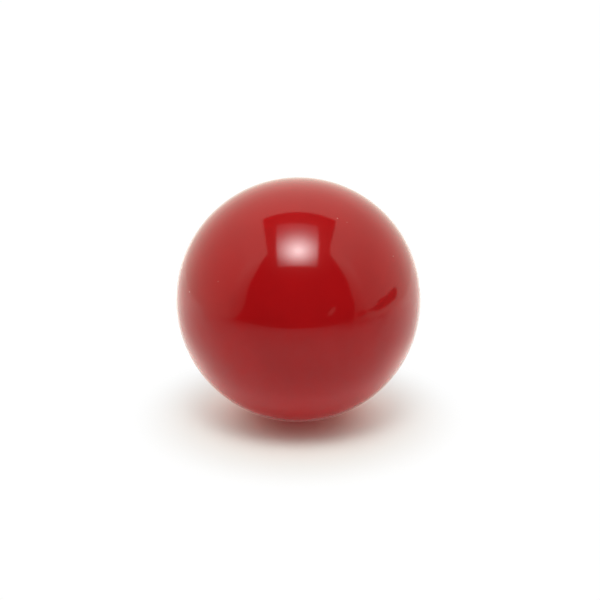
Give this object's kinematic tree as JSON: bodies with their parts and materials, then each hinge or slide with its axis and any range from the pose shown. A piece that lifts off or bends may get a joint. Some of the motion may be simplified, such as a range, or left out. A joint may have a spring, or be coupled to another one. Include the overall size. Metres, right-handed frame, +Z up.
{
  "type": "bowling ball",
  "caption": "Glossy red ten-pin ball with finger inserts and a removable thumb slug that locks by a twist, over a pancake weight block.",
  "frame": {"origin": "centre of the ball", "axes": "+Z is up from the small flat that the ball stands on, -Y faces the plain side that the picture shows, and the grip lies level round the back from the thumb near +Y to the fingers near -X"},
  "size_m": [0.217, 0.217, 0.2169],
  "materials": {
    "red_polyester": "gloss",
    "core_filler": "matte",
    "weight_block": "matte",
    "marker_white": "gloss",
    "finger_insert": "satin",
    "thumb_sleeve": "satin",
    "spring_steel": "satin",
    "index_nylon": "satin",
    "thumb_slug": "gloss",
    "lock_pin_steel": "polished",
    "o_ring_rubber": "matte",
    "front_tape": "matte",
    "back_tape": "matte"
  },
  "bodies": {
    "ball": {"coverstock": "red_polyester", "core_filler": "core_filler", "weight_block": "weight_block", "locator_pin": "marker_white", "centre_of_gravity_dot": "marker_white", "middle_finger_insert": "finger_insert", "ring_finger_insert": "finger_insert", "thumb_outer_sleeve": "thumb_sleeve", "thumb_wave_spring": "spring_steel"},
    "thumb_carrier": {"thumb_index_ring": "index_nylon"},
    "thumb_plug": {"thumb_slug": "thumb_slug", "lock_pin_left": "lock_pin_steel", "lock_pin_right": "lock_pin_steel", "thumb_o_ring": "o_ring_rubber", "thumb_tape_front": "front_tape", "thumb_tape_back": "back_tape"}
  },
  "joints": [
    {"name": "thumb_pull", "type": "slide", "parent": "ball", "child": "thumb_carrier", "axis": [-0.1095, 0.994, 0], "range_m": [0, 0.08]},
    {"name": "thumb_twist", "type": "hinge", "parent": "thumb_carrier", "child": "thumb_plug", "pos_m": [0, 0, 0], "axis": [0.1095, -0.994, 0], "range_deg": [0, 60]}
  ]
}
